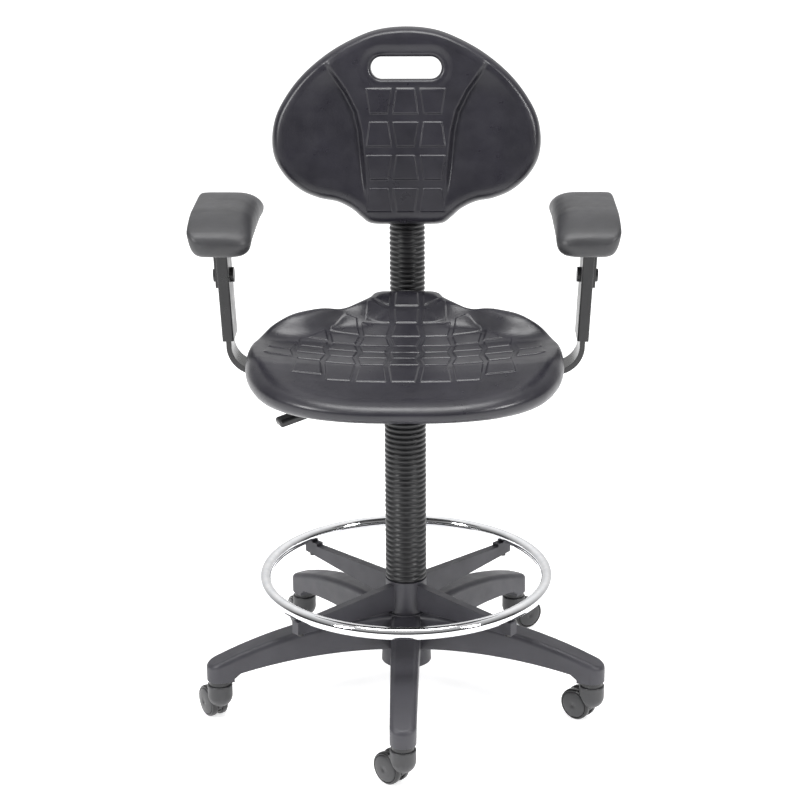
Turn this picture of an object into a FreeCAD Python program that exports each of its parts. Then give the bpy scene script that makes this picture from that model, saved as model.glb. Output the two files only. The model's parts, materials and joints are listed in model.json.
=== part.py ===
"""Drafting chair: five-leg base, foot ring, gas lift, moulded seat, back and arm pads.

Millimetres, +Z up. The origin is on the swivel axis at floor level and the chair faces -Y.
"""
import FreeCAD, Part
import math
import os
import Sketcher
from FreeCAD import Placement, Rotation, Vector

DIMENSIONS = {
    # star base
    "leg_count": 5, "stem_circle_radius": 301, "leg_tip_radius": 19.5, "leg_root_width": 46,
    "leg_edge_round": 8, "leg_tip_top": 96, "leg_middle_top": 127, "leg_root_bottom": 88,
    "leg_middle_bottom": 96.5, "leg_arch_end": 83, "leg_tip_bottom": 70, "leg_root_top": 146,
    "base_hub_radius": 35, "base_hub_top": 149, "base_hub_bottom": 62,
    # castors
    "wheel_radius": 25, "wheel_width": 13, "wheel_gap": 7.6, "castor_trail": 24,
    "housing_radius": 19.3, "housing_top": 62, "housing_dome": 43.5,
    "wheel_clearance": 0.8,
    "axle_radius": 3, "stem_radius": 5.5, "stem_bottom": 50.5, "stem_top": 88,
    "running_clearance": 0.05,
    # column
    "insert_radius": 28, "tube_radius": 25, "tube_bore": 23.2, "tube_bottom": 58, "tube_top": 400,
    "bush_bottom": 320, "rod_radius": 5, "rod_bottom": 52, "rod_top": 350, "piston_radius": 11.9,
    "cylinder_radius": 14, "cylinder_bore": 12, "cylinder_bottom": 76, "cylinder_top": 505,
    "pin_radius": 4, "pin_top": 511, "bellows_radius": 32, "bellows_valley": 29.3,
    "bellows_bore": 27, "bellows_bottom": 202.4, "bellows_top": 497, "bellows_ribs": 36,
    # foot ring
    "ring_radius": 219, "ring_tube_radius": 9.5, "ring_height": 206, "spider_hub_radius": 32,
    "spider_hub_top": 202, "arm_blade_width": 13, "arm_blade_reach": 230, "cradle_top": 197.5,
    "blade_top": 193, "blade_root_bottom": 162, "blade_tip_bottom": 178,
    # mechanism
    "plate_bottom": 524, "plate_top": 528, "plate_half_width": 95, "socket_radius": 22,
    "socket_bottom": 462, "socket_top": 508, "bar_thickness": 8, "bar_width": 44,
    "bar_level": 514, "channel_wall": 4, "channel_front": 50, "channel_back": 150,
    # lever
    "lever_pivot_x": -35, "lever_level": 515.5, "lever_rod_radius": 4, "lever_tip_x": -188,
    "lever_tip_y": -72, "lever_tip_level": 480, "lever_grip_length": 52, "lever_grip_width": 24,
    "lever_grip_thickness": 12,
    # seat
    "seat_half_width": 232, "seat_front": -220, "seat_back": 205, "board_top": 540,
    "board_half_width": 172, "tongue_half_width": 58,
    # back
    "upright_y": 238, "upright_top": 862, "upright_bend": 38, "collar_bottom": 556,
    "collar_top": 737.6, "collar_radius": 28.5, "collar_valley": 25.8, "collar_bore": 23.6,
    "collar_ribs": 22, "back_bottom": 718, "back_face_y": 203, "back_lean": 8,
    "back_thickness": 45, "slot_half_length": 56, "slot_half_height": 18.5, "slot_level": 241,
    "bracket_bottom": 738, "bracket_top": 850, "knob_radius": 19, "knob_depth": 20,
    # arms
    "arm_base_x": 269, "arm_base_level": 575, "arm_lean": 2.8, "arm_y": 60, "arm_bar_width": 50,
    "arm_bar_inner_x": 108, "arm_bend": 42, "arm_bar_rise": 152, "sleeve_thickness": 17.5,
    "sleeve_width": 60, "sleeve_rise": 158, "arm_bolt_rise": 97, "pad_centre_x": 268,
    "pad_half_width": 49, "pad_bottom": 731, "pad_seat": 738, "pad_top": 786, "pad_front": -80,
    "pad_back": 180,
}
CASTOR_HEADINGS = [227, 231, 122, 205, 214]

DOC = FreeCAD.newDocument("drafting_chair")
SHEET = DOC.addObject("Spreadsheet::Sheet", "dims")
for row, (word, number) in enumerate(DIMENSIONS.items(), start=1):
    SHEET.set(f"A{row}", word)
    SHEET.set(f"B{row}", str(number))
    SHEET.setAlias(f"B{row}", word)
DOC.recompute()


class Size:
    """A number together with the spreadsheet expression that gives it."""

    def __init__(self, number, text):
        self.number = float(number)
        self.text = text

    def __float__(self):
        return self.number

    def __neg__(self):
        return Size(-self.number, f"-({self.text})")

    def __add__(self, other):
        other = as_size(other)
        return Size(self.number + other.number, f"({self.text} + {other.text})")

    def __sub__(self, other):
        other = as_size(other)
        return Size(self.number - other.number, f"({self.text} - {other.text})")

    def __mul__(self, factor):
        factor = as_size(factor)
        return Size(self.number * factor.number, f"({self.text} * {factor.text})")

    def __truediv__(self, other):
        other = as_size(other)
        return Size(self.number / other.number, f"({self.text} / {other.text})")

    __radd__ = __add__
    __rmul__ = __mul__

    def __rsub__(self, other):
        return as_size(other) - self


def as_size(value):
    if isinstance(value, Size):
        return value
    return Size(value, f"{float(value):.6f}")


class Sheet:
    """Reads the driving dimensions back from the spreadsheet by name."""

    def __getattr__(self, word):
        return Size(SHEET.get(word), f"dims.{word}")


d = Sheet()
NODES = []


# ---------------------------------------------------------------- building blocks

def bind(thing, name, value):
    """Drives one property by its spreadsheet expression."""
    thing.setExpression(name, as_size(value).text)


def node(label, thing):
    """Names a finished sub-part and lists it for export."""
    thing.Label = label
    NODES.append(thing)
    return thing


def sketch_on(body, role, points):
    """A closed sketch: each point is (h, v), and (h, v, "via") is the middle of an arc."""
    sketch = body.newObject("Sketcher::SketchObject", "outline")
    plane = [feature for feature in body.Origin.OriginFeatures if feature.Role == role][0]
    sketch.AttachmentSupport = [(plane, "")]
    sketch.MapMode = "FlatFace"
    corners = [index for index, point in enumerate(points) if len(point) == 2]
    for place, start in enumerate(corners):
        end = corners[(place + 1) % len(corners)]
        ends = [Vector(float(points[k][0]), float(points[k][1]), 0) for k in (start, end)]
        if (end - start) % len(points) == 2:
            middle = points[start + 1]
            via = Vector(float(middle[0]), float(middle[1]), 0)
            sketch.addGeometry(Part.Arc(ends[0], via, ends[1]), False)
            turned = (via - ends[0]).cross(ends[1] - via).z < 0
        else:
            sketch.addGeometry(Part.LineSegment(*ends), False)
            turned = False
        pin_point(sketch, place, 2 if turned else 1, points[start])
        pin_point(sketch, place, 1 if turned else 2, points[end])
    return sketch


def pin_point(sketch, edge, end, point):
    """Holds one end of an edge at its two spreadsheet coordinates."""
    for kind, value in zip(("DistanceX", "DistanceY"), point):
        held = sketch.addConstraint(Sketcher.Constraint(kind, -1, 1, edge, end, float(value)))
        if isinstance(value, Size):
            sketch.setExpression(f"Constraints[{held}]", value.text)


def new_body():
    return DOC.addObject("PartDesign::Body", "body")


def extruded(role, points, length, symmetric=True):
    """A body padded from a sketch on one of its own origin planes."""
    body = new_body()
    pad = body.newObject("PartDesign::Pad", "pad")
    pad.Profile = sketch_on(body, role, points)
    if symmetric:
        pad.SideType = "Symmetric"
    bind(pad, "Length", length)
    body.Tip = pad
    return body


def revolved(points):
    """A body turned about +Z from a sketch of (radius, height) points."""
    body = new_body()
    turn = body.newObject("PartDesign::Revolution", "turn")
    sketch = sketch_on(body, "XZ_Plane", points)
    turn.Profile = sketch
    turn.ReferenceAxis = (sketch, ["V_Axis"])
    turn.Angle = 360
    body.Tip = turn
    return body


def ring_profile(inner, outer, bottom, top):
    return [(inner, bottom), (outer, bottom), (outer, top), (inner, top)]


def cylinder(radius, bottom, top, x=0, y=0):
    piece = DOC.addObject("Part::Cylinder", "cylinder")
    bind(piece, "Radius", radius)
    bind(piece, "Height", as_size(top) - bottom)
    bind(piece, "Placement.Base.x", x)
    bind(piece, "Placement.Base.y", y)
    bind(piece, "Placement.Base.z", bottom)
    return piece


def box(x, y, z):
    """A block from three (low, high) pairs."""
    piece = DOC.addObject("Part::Box", "block")
    for side, axis, (low, high) in zip(("Length", "Width", "Height"), "xyz", (x, y, z)):
        bind(piece, side, as_size(high) - low)
        bind(piece, f"Placement.Base.{axis}", low)
    return piece


def joined(*pieces):
    fusion = DOC.addObject("Part::MultiFuse", "joined")
    fusion.Shapes = list(pieces)
    fusion.Refine = True
    return fusion


def cut(base, *tools):
    for tool in tools:
        result = DOC.addObject("Part::Cut", "cut")
        result.Base = base
        result.Tool = tool
        base = result
    return base


def common(*pieces):
    shared = DOC.addObject("Part::MultiCommon", "common")
    shared.Shapes = list(pieces)
    return shared


def rounded(base, radius, chosen):
    """Fillets the edges of base that the test function picks."""
    DOC.recompute()
    picks = [index for index, edge in enumerate(base.Shape.Edges, start=1) if chosen(edge)]
    fillet = DOC.addObject("Part::Fillet", "fillet")
    fillet.Base = base
    fillet.Edges = [(index, float(radius), float(radius)) for index in picks]
    return fillet


def group(*pieces):
    """Several separate solids kept together in one sub-part."""
    compound = DOC.addObject("Part::Compound", "group")
    compound.Links = list(pieces)
    return compound


def turned_copy(piece, angle):
    """The same piece again, turned about the Z axis."""
    link = DOC.addObject("Part::Feature", "copy")
    DOC.recompute()
    link.Shape = piece.Shape.copy()
    link.Placement = Placement(Vector(0, 0, 0), Rotation(Vector(0, 0, 1), angle)) * link.Placement
    return link


def placed(piece, placement):
    """Moves a finished piece from its own frame into the chair's frame."""
    DOC.recompute()
    for path, _ in piece.ExpressionEngine:
        if "Placement" in path:
            piece.setExpression(path, None)
    piece.Placement = placement * piece.Placement
    return piece


# ---------------------------------------------------------------- star base and castors

def base_leg():
    """One leg along +X: an arched side view crossed with a plan that ends in a round tip."""
    circle = d.stem_circle_radius
    tip = circle + d.leg_tip_radius
    socket = circle - d.leg_tip_radius
    side = extruded("XZ_Plane", [
        (8, d.leg_root_bottom), (circle / 2, d.leg_middle_bottom, "via"),
        (socket - 10, d.leg_arch_end), (socket, d.leg_tip_bottom + 5), (socket, d.leg_tip_bottom),
        (tip, d.leg_tip_bottom), (tip, d.leg_tip_top),
        (circle * 0.77, d.leg_middle_top - 1, "via"), (8, d.leg_root_top),
    ], 60)
    half_root = d.leg_root_width / 2
    plan = extruded("XY_Plane", [
        (8, -half_root), (circle, -d.leg_tip_radius), (tip, 0, "via"),
        (circle, d.leg_tip_radius), (8, half_root),
    ], 400)
    leg = common(side, plan)
    shoulder = float(d.leg_tip_top) - 1
    return rounded(leg, d.leg_edge_round, lambda edge: (
        edge.BoundBox.ZMin > shoulder and edge.BoundBox.XMax > 20))


def star_base():
    leg = base_leg()
    step = 360 / float(d.leg_count)
    legs = [turned_copy(leg, -90 + step * number) for number in range(int(float(d.leg_count)))]
    hub = revolved([
        (0, d.base_hub_bottom), (d.base_hub_radius + 4, d.base_hub_bottom),
        (d.base_hub_radius, d.base_hub_top), (0, d.base_hub_top),
    ])
    bore = cylinder(d.insert_radius, 0, 200)
    sockets = group(*[turned_copy(
        cylinder(d.stem_radius, 0, d.stem_top, d.stem_circle_radius), -90 + step * number)
        for number in range(len(legs))])
    node("star_base", cut(joined(hub, *legs), bore, sockets))


def castor_stems():
    """Five steel stems, each with the dark collar that spaces its castor from the leg."""
    step = 360 / float(d.leg_count)
    stem = joined(
        cylinder(d.stem_radius, d.stem_bottom, d.stem_top, d.stem_circle_radius),
        cylinder(d.housing_radius - 2.5, d.housing_top + 0.6, d.leg_tip_bottom,
                 d.stem_circle_radius))
    node("caster_stems", group(*[
        turned_copy(stem, -90 + step * number) for number in range(int(float(d.leg_count)))]))


def castor_housing():
    """Domed housing about its stem axis: the wheels trail towards -Y in its own frame."""
    half_gap = d.wheel_gap / 2
    half_width = half_gap + d.wheel_width
    neck = rounded(cylinder(d.housing_radius, d.housing_dome, d.housing_top), 2,
                   lambda edge: edge.BoundBox.ZMin > 61)
    dome = DOC.addObject("Part::Sphere", "dome")
    bind(dome, "Radius", d.housing_radius)
    bind(dome, "Placement.Base.z", d.housing_dome)
    across = Rotation(Vector(0, 1, 0), 90)
    pockets = []
    for low in (float(half_gap) - 0.4, -float(half_width) - 12):
        pocket = DOC.addObject("Part::Cylinder", "pocket")
        bind(pocket, "Radius", d.wheel_radius + d.wheel_clearance)
        pocket.Height = float(d.wheel_width) + 12.4
        pocket.Placement = Placement(Vector(low, -float(d.castor_trail), float(d.wheel_radius)),
                                     across)
        pockets.append(pocket)
    web = extruded("YZ_Plane", [
        (-d.castor_trail - 9, 14), (-d.castor_trail, 10, "via"), (0, 20), (8, 58), (-16, 52),
    ], d.wheel_gap - 0.8)
    stem_hole = cylinder(d.stem_radius + d.running_clearance, d.stem_bottom - 0.3, 70)
    axle_hole = DOC.addObject("Part::Cylinder", "axle_hole")
    bind(axle_hole, "Radius", d.axle_radius)
    axle_hole.Height = 60
    axle_hole.Placement = Placement(Vector(-30, -float(d.castor_trail), float(d.wheel_radius)),
                                    across)
    return cut(joined(cut(joined(neck, dome), *pockets), web), stem_hole, axle_hole)


def castor_wheel(side):
    """A domed wheel with a rolled tread; side is +1 or -1 along the axle."""
    inner = d.wheel_gap / 2
    outer = inner + d.wheel_width
    bore = d.axle_radius + d.running_clearance
    wheel = revolved([
        (bore, inner), (d.wheel_radius - 1.5, inner), (d.wheel_radius, inner + 1.5),
        (d.wheel_radius, outer - 4.5), (d.wheel_radius - 1.5, outer - 3),
        (d.wheel_radius - 3, outer - 2.6), (bore + 8, outer - 0.4, "via"), (bore, outer),
    ])
    across = Rotation(Vector(0, 1, 0), 90 * side)
    wheel.Placement = Placement(Vector(0, -float(d.castor_trail), float(d.wheel_radius)), across)
    return wheel


def castor_axle():
    axle = DOC.addObject("Part::Cylinder", "axle")
    bind(axle, "Radius", d.axle_radius)
    half = float(d.wheel_gap) / 2 + float(d.wheel_width) - 2
    axle.Height = half * 2
    axle.Placement = Placement(Vector(-half, -float(d.castor_trail), float(d.wheel_radius)),
                               Rotation(Vector(0, 1, 0), 90))
    return axle


def castor(number, heading):
    """One twin-wheel castor under leg `number`, its axle turned to `heading` degrees."""
    around = math.radians(-90 + 360 / float(d.leg_count) * (number - 1))
    radius = float(d.stem_circle_radius)
    place = Placement(Vector(radius * math.cos(around), radius * math.sin(around), 0),
                      Rotation(Vector(0, 0, 1), heading))
    node(f"caster_housing_{number}", placed(castor_housing(), place))
    node(f"caster_axle_{number}", placed(castor_axle(), place))
    node(f"caster_wheel_left_{number}", placed(castor_wheel(-1), place))
    node(f"caster_wheel_right_{number}", placed(castor_wheel(1), place))


# ---------------------------------------------------------------- column

def bellows(bore, valley, peak, bottom, top, ribs):
    """A ribbed sleeve about +Z: plain bore inside, a row of rounded ribs outside."""
    bore, valley, peak, bottom, top = [float(size) for size in (bore, valley, peak, bottom, top)]
    pitch = (top - bottom) / int(float(ribs))
    points = [Vector(bore, 0, bottom), Vector(valley, 0, bottom)]
    for rib in range(int(float(ribs))):
        crown = bottom + pitch * (rib + 0.5)
        points += [Vector(peak, 0, crown - pitch * 0.18), Vector(peak, 0, crown + pitch * 0.18)]
        points += [Vector(valley, 0, bottom + pitch * (rib + 1))]
    points += [Vector(bore, 0, top), points[0]]
    sleeve = DOC.addObject("Part::Feature", "bellows")
    sleeve.Shape = Part.Face(Part.makePolygon(points)).revolve(
        Vector(0, 0, 0), Vector(0, 0, 1), 360)
    return sleeve


def column():
    node("hub_insert", revolved(ring_profile(
        d.tube_radius, d.insert_radius, d.base_hub_bottom + 3, d.base_hub_top - 1)))
    foot = d.tube_bottom + 4
    rod_hole = d.rod_radius + d.running_clearance
    node("lift_outer_tube", revolved([
        (rod_hole, d.tube_bottom), (d.tube_radius, d.tube_bottom), (d.tube_radius, d.tube_top),
        (d.tube_bore, d.tube_top), (d.tube_bore, foot), (rod_hole, foot),
    ]))
    node("guide_bush", revolved([
        (d.cylinder_radius + d.running_clearance, d.bush_bottom), (d.tube_bore, d.bush_bottom),
        (d.tube_bore, d.tube_top), (d.tube_radius, d.tube_top),
        (d.tube_radius, d.tube_top + 3), (d.cylinder_radius + d.running_clearance, d.tube_top + 3),
    ]))
    bearing_top = foot + 5
    node("thrust_bearing", revolved(ring_profile(rod_hole, 14, foot, bearing_top)))
    piston_bottom = d.rod_top - 9
    node("piston_rod", revolved([
        (0, d.rod_bottom), (d.rod_radius, d.rod_bottom), (d.rod_radius, bearing_top + 0.1),
        (9, bearing_top + 0.1), (9, bearing_top + 3), (d.rod_radius, bearing_top + 3),
        (d.rod_radius, piston_bottom), (d.piston_radius, piston_bottom),
        (d.piston_radius, d.rod_top), (0, d.rod_top),
    ]))
    node("retaining_clip", revolved(ring_profile(
        d.rod_radius, 9, d.tube_bottom - 3.2, d.tube_bottom - 0.4)))
    crown = d.cylinder_top - 10
    floor = d.cylinder_bottom + 10
    pin_hole = d.pin_radius + d.running_clearance
    node("gas_cylinder", revolved([
        (rod_hole, d.cylinder_bottom), (d.cylinder_radius, d.cylinder_bottom),
        (d.cylinder_radius, d.cylinder_top), (pin_hole, d.cylinder_top), (pin_hole, crown),
        (d.cylinder_bore, crown), (d.cylinder_bore, floor), (rod_hole, floor),
    ]))
    node("release_pin", cylinder(d.pin_radius, crown + 3, d.pin_top))
    node("lower_bellows", bellows(
        d.bellows_bore, d.bellows_valley, d.bellows_radius, d.bellows_bottom, d.bellows_top,
        d.bellows_ribs))


# ---------------------------------------------------------------- foot ring

def foot_ring():
    hub = cylinder(d.spider_hub_radius, d.base_hub_top + 0.2, d.spider_hub_top)
    blade = extruded("XZ_Plane", [
        (20, d.blade_root_bottom - 8), (d.arm_blade_reach, d.blade_tip_bottom),
        (d.arm_blade_reach, d.cradle_top), (d.ring_radius - 17, d.cradle_top),
        (d.ring_radius - 17, d.blade_top), (20, d.blade_top + 4),
    ], d.arm_blade_width)
    blades = [turned_copy(blade, 45 + 90 * number) for number in range(4)]
    ring = DOC.addObject("Part::Torus", "ring")
    bind(ring, "Radius1", d.ring_radius)
    bind(ring, "Radius2", d.ring_tube_radius)
    bind(ring, "Placement.Base.z", d.ring_height)
    clamp_holes = [turned_copy(cross_screw_space(2.5, 22, 40), angle) for angle in (0, 180)]
    screw_holes = [turned_copy(
        cylinder(2.5, 150, 210, d.ring_radius), 45 + 90 * number) for number in range(4)]
    spider = cut(joined(hub, *blades), cylinder(d.tube_radius, 100, 250), ring,
                 group(*clamp_holes), group(*screw_holes))
    node("footring_spider", spider)
    screw_tops = d.ring_height - d.ring_tube_radius + 3
    ring_sockets = [turned_copy(
        cylinder(2.5, 180, screw_tops, d.ring_radius), 45 + 90 * number) for number in range(4)]
    inner = DOC.addObject("Part::Torus", "ring_bore")
    bind(inner, "Radius1", d.ring_radius)
    bind(inner, "Radius2", d.ring_tube_radius - 1.5)
    bind(inner, "Placement.Base.z", d.ring_height)
    node("foot_ring", cut(ring, inner, group(*ring_sockets)))
    blade_under = d.blade_tip_bottom - 2
    ring_screw = joined(
        cylinder(2.5, blade_under, screw_tops, d.ring_radius),
        cylinder(5, blade_under - 3.5, blade_under, d.ring_radius))
    clamp_screw = joined(cross_screw_space(2.5, float(d.tube_radius), 38),
                         cross_screw_space(4.5, float(d.spider_hub_radius), 37))
    node("footring_screws", group(
        *[turned_copy(ring_screw, 45 + 90 * number) for number in range(4)],
        *[turned_copy(clamp_screw, angle) for angle in (0, 180)]))


def cross_screw_space(radius, start, end):
    """A cylinder along +X at the spider hub's middle height."""
    piece = DOC.addObject("Part::Cylinder", "cross")
    piece.Radius = radius
    piece.Height = end - start
    level = (float(d.base_hub_top) + float(d.spider_hub_top)) / 2
    piece.Placement = Placement(Vector(start, 0, level), Rotation(Vector(0, 1, 0), 90))
    return piece


# ---------------------------------------------------------------- mechanism and lever

BOARD_BOLTS = [(-75, -72), (75, -72), (-75, 75), (75, 75)]
ARM_BOLTS = [(side * x, 60) for side in (-1, 1) for x in (124, 154)]


def mechanism():
    plate = box((-d.plate_half_width, d.plate_half_width), (-100, d.channel_back),
                (d.plate_bottom, d.plate_top))
    socket = cylinder(d.socket_radius, d.socket_bottom, d.socket_top)
    cheeks = [box((-60, 60), sides, (d.bellows_top + 2, d.plate_bottom))
              for sides in ((-22, -18), (18, 22))]
    half = d.bar_width / 2 + 0.1
    wall = d.channel_wall
    low = d.bar_level - d.bar_thickness / 2 - 0.1
    high = d.bar_level + d.bar_thickness / 2 + 0.1
    channel = box((-half - wall, half + wall), (d.channel_front, d.channel_back),
                  (low - wall, d.plate_bottom))
    slot = box((-half, half), (d.channel_front - 5, d.channel_back + 5), (low, high))
    flanges = [box(sides, (-100, d.channel_back), (d.plate_bottom - 10, d.plate_bottom))
               for sides in ((-d.plate_half_width, -d.plate_half_width + 4),
                             (d.plate_half_width - 4, d.plate_half_width))]
    bore = cylinder(d.cylinder_radius, 400, 520)
    pivot = lever_pivot_space(3, 60)
    bolt_holes = [cylinder(4, 500, 540, x, y) for x, y in BOARD_BOLTS]
    knob_hole = cylinder(4 + d.running_clearance, 490, low + 2, 0, 100)
    node("mechanism", cut(joined(plate, socket, *cheeks, channel, *flanges), slot, bore, pivot,
                          group(*bolt_holes), knob_hole))
    node("lever_pin", lever_pivot_space(3, 44))


def lever_pivot_space(radius, length):
    """A cylinder along Y through the lever's pivot."""
    piece = DOC.addObject("Part::Cylinder", "pivot")
    piece.Radius = radius
    piece.Height = length
    piece.Placement = Placement(
        Vector(float(d.lever_pivot_x), length / 2, float(d.lever_level)),
        Rotation(Vector(1, 0, 0), 90))
    return piece


def lift_lever():
    """Finger over the release pin, hub on the pivot pin, and a rod sloping out to the grip."""
    pivot = Vector(float(d.lever_pivot_x), 0, float(d.lever_level))
    tip = Vector(float(d.lever_tip_x), float(d.lever_tip_y), float(d.lever_tip_level))
    reach = (tip - pivot)
    rod = DOC.addObject("Part::Cylinder", "rod")
    bind(rod, "Radius", d.lever_rod_radius)
    rod.Height = reach.Length - 10
    along = Rotation(Vector(0, 0, 1), reach)
    rod.Placement = Placement(pivot, along)
    finger = box((d.lever_pivot_x, 4), (-6, 6), (d.pin_top + 0.6, d.pin_top + 7))
    hub = lever_pivot_space(6.5, 26)
    pin_space = lever_pivot_space(3 + float(d.running_clearance), 60)
    hollow = DOC.addObject("Part::Cylinder", "grip_bore")
    bind(hollow, "Radius", d.lever_rod_radius)
    hollow.Height = reach.Length - 10
    hollow.Placement = Placement(pivot, along)
    node("lift_lever", cut(joined(rod, finger, hub), pin_space))
    grip = DOC.addObject("Part::Box", "grip")
    bind(grip, "Length", d.lever_grip_thickness)
    bind(grip, "Width", d.lever_grip_width)
    bind(grip, "Height", d.lever_grip_length)
    heading = math.degrees(math.atan2(reach.y, reach.x))
    pitch = math.degrees(math.acos(reach.z / reach.Length))
    facing = Rotation(Vector(0, 0, 1), heading) * Rotation(Vector(0, 1, 0), pitch)
    corner = facing.multVec(Vector(-float(d.lever_grip_thickness) / 2,
                                   -float(d.lever_grip_width) / 2,
                                   reach.Length - float(d.lever_grip_length)))
    grip.Placement = Placement(pivot + corner, facing)
    soft_grip = rounded(grip, 4.5, lambda edge: True)
    node("lever_grip", cut(soft_grip, hollow))


# ---------------------------------------------------------------- seat

def seat():
    """Cushion: plan outline crossed with a side view that rises to the rear tongue."""
    width = d.seat_half_width
    tongue = d.tongue_half_width
    right = [
        (width * 0.62, d.seat_front + 27), (width * 0.92, -135, "via"), (width, -15),
        (width * 0.93, 68, "via"), (width * 0.62, 122), (tongue + 22, 146, "via"),
        (tongue, d.seat_back - 12), (tongue - 12, d.seat_back),
    ]
    left = [(-point[0],) + tuple(point[1:]) for point in reversed(right)]
    plan = extruded("XY_Plane", right + left + [(0, d.seat_front, "via")], 1400)
    side = extruded("YZ_Plane", [
        (-202, 533), (-150, d.plate_top), (100, d.plate_top), (150, 543), (d.seat_back, 566),
        (d.seat_back, 604), (d.seat_back - 12, 609), (150, 603), (50, 582), (-60, 574, "via"),
        (-205, 564), (d.seat_front, 549, "via"),
    ], 600)
    board = box((-d.board_half_width, d.board_half_width), (-150, 130),
                (d.plate_top, d.board_top))
    pocket = box((-d.board_half_width, d.board_half_width), (-150, 130),
                 (d.plate_top - 20, d.board_top))
    node("seat_pad", cut(common(plan, side), pocket))
    holes = [cylinder(4, 500, 560, x, y) for x, y in BOARD_BOLTS + ARM_BOLTS]
    node("seat_board", cut(board, group(*holes)))
    node("seat_bolts", group(*[hex_bolt(x, y, d.plate_bottom) for x, y in BOARD_BOLTS]))
    underside = d.plate_top - d.bar_thickness
    node("arm_bar_bolts", group(*[hex_bolt(x, y, underside) for x, y in ARM_BOLTS]))


def hex_bolt(x, y, seat_level):
    """An upward bolt: hexagon head under seat_level, shank up into the seat board."""
    head = DOC.addObject("Part::Prism", "head")
    head.Polygon = 6
    head.Circumradius = 7.5
    head.Height = 5.5
    head.Placement = Placement(Vector(x, y, float(seat_level) - 5.5), Rotation())
    return joined(head, cylinder(4, seat_level, d.board_top, x, y))


# ---------------------------------------------------------------- back

def upright():
    """The J-shaped flat bar: back under the seat, then straight up behind it."""
    half = d.bar_thickness / 2
    bend = d.upright_bend
    level = d.bar_level
    turn_y = d.upright_y - bend
    turn_z = level + bend
    diagonal = math.sqrt(0.5)
    outer_via = (turn_y + (bend + half) * diagonal, turn_z - (bend + half) * diagonal, "via")
    inner_via = (turn_y + (bend - half) * diagonal, turn_z - (bend - half) * diagonal, "via")
    node("back_bar", extruded("YZ_Plane", [
        (35, level - half), (turn_y, level - half), outer_via, (d.upright_y + half, turn_z),
        (d.upright_y + half, d.upright_top), (d.upright_y - half, d.upright_top),
        (d.upright_y - half, turn_z), inner_via, (turn_y, level + half), (35, level + half),
    ], d.bar_width))
    sleeve = bellows(d.collar_bore, d.collar_valley, d.collar_radius, d.collar_bottom,
                     d.collar_top, d.collar_ribs)
    sleeve.Placement = Placement(Vector(0, float(d.upright_y), 0), Rotation())
    node("upper_bellows", sleeve)


def back_frame():
    """The backrest's own frame: its back face is the XZ plane, leaning back."""
    return Placement(Vector(0, float(d.back_face_y), float(d.back_bottom)),
                     Rotation(Vector(1, 0, 0), -float(d.back_lean)))


PLATE_BOLTS = [(side * 36, level) for side in (-1, 1) for level in (46, 122)]


def backrest():
    half = [
        (58, 0), (64, 22, "via"), (104, 34), (176, 56, "via"), (209, 118), (186, 206, "via"),
        (108, 277),
    ]
    mirrored = [(-point[0],) + tuple(point[1:]) for point in reversed(half)]
    face = extruded("XZ_Plane", half + [(0, 304, "via")] + mirrored, 200)
    deep = d.back_thickness
    section = extruded("XY_Plane", [
        (-190, 0), (-212, -deep / 2, "via"), (-190, -deep), (190, -deep),
        (212, -deep / 2, "via"), (190, 0),
    ], 700)
    shell = common(face, section)
    reach = d.slot_half_length
    rise = d.slot_half_height
    level = d.slot_level
    slot = extruded("XZ_Plane", [
        (-reach + rise, level - rise), (reach - rise, level - rise), (reach, level, "via"),
        (reach - rise, level + rise), (-reach + rise, level + rise), (-reach, level, "via"),
    ], 200)
    recess = box((-80, 80), (-4, 10), (20, 150))
    node("backrest", placed(cut(shell, slot, recess), back_frame()))
    bolt_holes = [back_bolt_shank(x, level) for x, level in PLATE_BOLTS]
    node("back_plate", placed(cut(box((-80, 80), (-4, 0), (20, 150)), group(*bolt_holes)),
                              back_frame()))


def back_bolt_shank(x, level):
    piece = DOC.addObject("Part::Cylinder", "shank")
    piece.Radius = 3
    piece.Height = 7
    piece.Placement = Placement(Vector(x, 3, level), Rotation(Vector(1, 0, 0), 90))
    return piece


def back_bolt(x, level):
    head = DOC.addObject("Part::Prism", "head")
    head.Polygon = 6
    head.Circumradius = 5.8
    head.Height = 4
    head.Placement = Placement(Vector(x, 7, level), Rotation(Vector(1, 0, 0), 90))
    return joined(head, back_bolt_shank(x, level))


def back_bracket():
    """Box guide that slides on the upright, with a tilted flange on the backrest's plate."""
    half = d.bar_width / 2 + 0.1
    wall = d.channel_wall
    gap = d.bar_thickness / 2 + 0.1
    bottom = d.bracket_bottom
    top = d.bracket_top
    guide = box((-half - wall, half + wall), (d.upright_y - gap - wall, d.upright_y + gap + wall),
                (bottom, top))
    slot = box((-half, half), (d.upright_y - gap, d.upright_y + gap), (bottom - 5, top + 5))
    slope = math.tan(math.radians(float(d.back_lean)))
    wedge_front = [d.back_face_y + (level - d.back_bottom) * slope for level in (bottom, top)]
    wedge = extruded("YZ_Plane", [
        (wedge_front[0], bottom), (d.upright_y - gap, bottom), (d.upright_y - gap, top),
        (wedge_front[1], top),
    ], (half + wall) * 2)
    flange = placed(box((-48, 48), (0, 3), (30, 132)), back_frame())
    bolt_holes = [placed(back_bolt_shank(x, level), back_frame()) for x, level in PLATE_BOLTS]
    knob_hole = cross_y(4 + float(d.running_clearance), 240, 260)
    node("back_bracket", cut(joined(guide, wedge, flange), slot, group(*bolt_holes), knob_hole))
    node("back_bolts", group(*[
        placed(back_bolt(x, level), back_frame()) for x, level in PLATE_BOLTS]))


def cross_y(radius, start, end, level=790):
    """A cylinder along +Y at the height knob's level."""
    piece = DOC.addObject("Part::Cylinder", "cross")
    piece.Radius = radius
    piece.Height = end - start
    piece.Placement = Placement(Vector(0, start, level), Rotation(Vector(1, 0, 0), -90))
    return piece


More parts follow.
